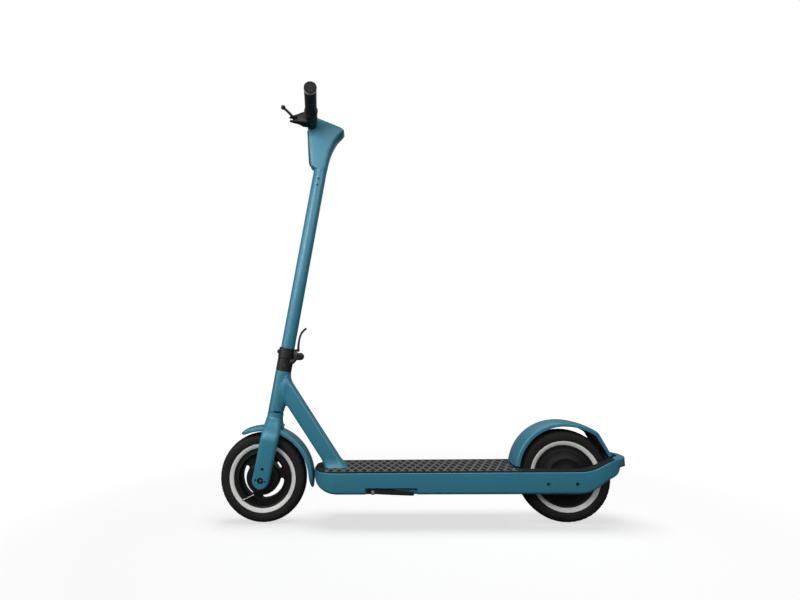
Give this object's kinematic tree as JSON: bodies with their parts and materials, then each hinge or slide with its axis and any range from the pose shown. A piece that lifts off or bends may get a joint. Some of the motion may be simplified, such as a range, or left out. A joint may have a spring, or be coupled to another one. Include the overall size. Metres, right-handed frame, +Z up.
{
  "type": "folding electric scooter",
  "caption": "Folding electric kick scooter with teal frame, wide deck, hub-motor rear wheel, front drum brake and hinged stem",
  "frame": {"origin": "middle of the bounding box on the ground", "axes": "+Z up, front of the scooter towards -X, its left side towards -Y"},
  "size_m": [1.15, 0.4946, 1.2226],
  "materials": {
    "teal_paint": "satin teal paint",
    "black_metal": "black powder coat",
    "black_plastic": "fine matt grain",
    "grip_rubber": "moulded rubber",
    "tyre_rubber": "black tyre rubber",
    "mat_rubber": "grey textured rubber",
    "steel": "plain steel",
    "copper_winding": "lacquered windings",
    "battery_wrap": "shrink wrap",
    "controller_case": "cast case",
    "red_lens": "clear red",
    "clear_lens": "clear lens",
    "gloss_black": "polished black"
  },
  "bodies": {
    "chassis": {"deck_frame": "teal_paint", "neck": "teal_paint", "deck_mat": "mat_rubber", "bottom_cover": "black_plastic", "battery_pack": "battery_wrap", "motor_controller": "controller_case", "charge_port": "black_plastic", "rear_fender": "teal_paint", "rear_fender_stay": "black_metal", "tail_light": "red_lens", "dropout_left": "steel", "dropout_right": "steel", "rear_axle": "steel", "rear_axle_nut_left": "steel", "rear_axle_nut_right": "steel", "motor_stator": "copper_winding", "kickstand_bracket": "black_metal", "headset_bearing_lower": "steel", "headset_bearing_upper": "steel"},
    "rear_wheel_body": {"rear_tyre": "tyre_rubber", "motor_rotor": "black_metal", "motor_cover_left": "black_metal", "motor_cover_right": "black_metal"},
    "steered_fork": {"fork": "teal_paint", "steerer": "steel", "lower_hinge_block": "black_metal", "front_axle": "steel", "front_axle_nut_left": "black_metal", "front_axle_nut_right": "black_metal", "front_fender": "teal_paint", "brake_plate": "black_metal", "fold_hinge_pin": "steel"},
    "front_wheel_body": {"front_tyre": "tyre_rubber", "front_wheel": "black_metal", "front_bearing_left": "steel", "front_bearing_right": "steel"},
    "folding_stem": {"upper_hinge_block": "black_metal", "stem_tube": "teal_paint", "stem_head": "teal_paint", "head_front_cover": "black_plastic", "headlight_lens": "clear_lens", "display_panel": "gloss_black", "handlebar": "black_metal", "grip_left": "grip_rubber", "grip_right": "grip_rubber", "brake_perch": "black_metal", "bell_ring": "black_metal", "throttle_body": "black_plastic"},
    "fold_lever_body": {"fold_lever": "black_metal"},
    "safety_button_body": {"safety_button": "black_metal"},
    "brake_lever_body": {"brake_lever": "black_metal"},
    "brake_arm_body": {"brake_arm": "steel"},
    "brake_shoe_upper_body": {"brake_shoe_upper": "steel"},
    "brake_shoe_lower_body": {"brake_shoe_lower": "steel"},
    "throttle_lever_body": {"throttle_lever": "black_plastic"},
    "bell_striker_body": {"bell_striker": "black_plastic"},
    "power_button_body": {"power_button": "black_plastic"},
    "kickstand_leg_body": {"kickstand_leg": "black_metal"},
    "charge_port_cap_body": {"charge_port_cap": "black_plastic"}
  },
  "joints": [
    {"name": "steering_turn", "type": "hinge", "parent": "chassis", "child": "steered_fork", "pos_m": [-0.4486, 0, 0.127], "axis": [0.192, 0, 0.9814], "range_deg": [-46, 46]},
    {"name": "front_wheel_spin", "type": "hinge", "parent": "steered_fork", "child": "front_wheel_body", "pos_m": [-0.4486, 0, 0.127], "axis": [0, 1, 0], "continuous": true},
    {"name": "rear_wheel_spin", "type": "hinge", "parent": "chassis", "child": "rear_wheel_body", "pos_m": [0.4094, 0, 0.127], "axis": [0, 1, 0], "continuous": true},
    {"name": "stem_fold", "type": "hinge", "parent": "steered_fork", "child": "folding_stem", "pos_m": [-0.33925, 0, 0.47498], "axis": [0, 1, 0], "range_deg": [0, 91]},
    {"name": "fold_lever_swing", "type": "hinge", "parent": "folding_stem", "child": "fold_lever_body", "pos_m": [-0.34423, 0, 0.49378], "axis": [0, 1, 0], "range_deg": [0, 70]},
    {"name": "safety_button_push", "type": "slide", "parent": "folding_stem", "child": "safety_button_body", "axis": [0.9814, 0, -0.192], "range_m": [0, 0.0018], "stiffness_N_per_m": 300},
    {"name": "brake_lever_pull", "type": "hinge", "parent": "folding_stem", "child": "brake_lever_body", "pos_m": [-0.33602, -0.07679, 1.19419], "axis": [-0.0736, -0.0068, 0.9973], "range_deg": [0, 26], "stiffness_Nm_per_rad": 0.6},
    {"name": "brake_arm_turn", "type": "hinge", "parent": "steered_fork", "child": "brake_arm_body", "pos_m": [-0.41327, 0, 0.12009], "axis": [0, 1, 0], "range_deg": [0, 20]},
    {"name": "brake_shoe_upper_open", "type": "hinge", "parent": "steered_fork", "child": "brake_shoe_upper_body", "pos_m": [-0.4854, 0, 0.1342], "axis": [0, -1, 0], "range_deg": [0, 0.8]},
    {"name": "brake_shoe_lower_open", "type": "hinge", "parent": "steered_fork", "child": "brake_shoe_lower_body", "pos_m": [-0.4854, 0, 0.1342], "axis": [0, 1, 0], "range_deg": [0, 0.8]},
    {"name": "throttle_press", "type": "hinge", "parent": "folding_stem", "child": "throttle_lever_body", "pos_m": [-0.284, 0.09768, 1.19788], "axis": [0.0924, 0.9957, 0], "range_deg": [0, 30], "stiffness_Nm_per_rad": 0.05},
    {"name": "bell_strike", "type": "hinge", "parent": "folding_stem", "child": "bell_striker_body", "pos_m": [-0.28008, -0.09681, 1.19818], "axis": [0.0736, 0.0068, -0.9973], "range_deg": [0, 20], "stiffness_Nm_per_rad": 0.02},
    {"name": "power_button_press", "type": "slide", "parent": "folding_stem", "child": "power_button_body", "axis": [-0.4353, 0, -0.9003], "range_m": [0, 0.001], "stiffness_N_per_m": 300},
    {"name": "kickstand_swing", "type": "hinge", "parent": "chassis", "child": "kickstand_leg_body", "pos_m": [-0.1305, -0.079, 0.1027], "axis": [0, 1, 0], "range_deg": [0, 115]},
    {"name": "charge_cap_lift", "type": "hinge", "parent": "chassis", "child": "charge_port_cap_body", "pos_m": [-0.165, 0.0847, 0.1365], "axis": [1, 0, 0], "range_deg": [0, 120]}
  ],
  "couplings": [
    {"joint": "brake_arm_turn", "follows": "brake_lever_pull", "ratio": 0.76923},
    {"joint": "brake_shoe_upper_open", "follows": "brake_lever_pull", "ratio": 0.030769},
    {"joint": "brake_shoe_lower_open", "follows": "brake_lever_pull", "ratio": 0.030769}
  ]
}
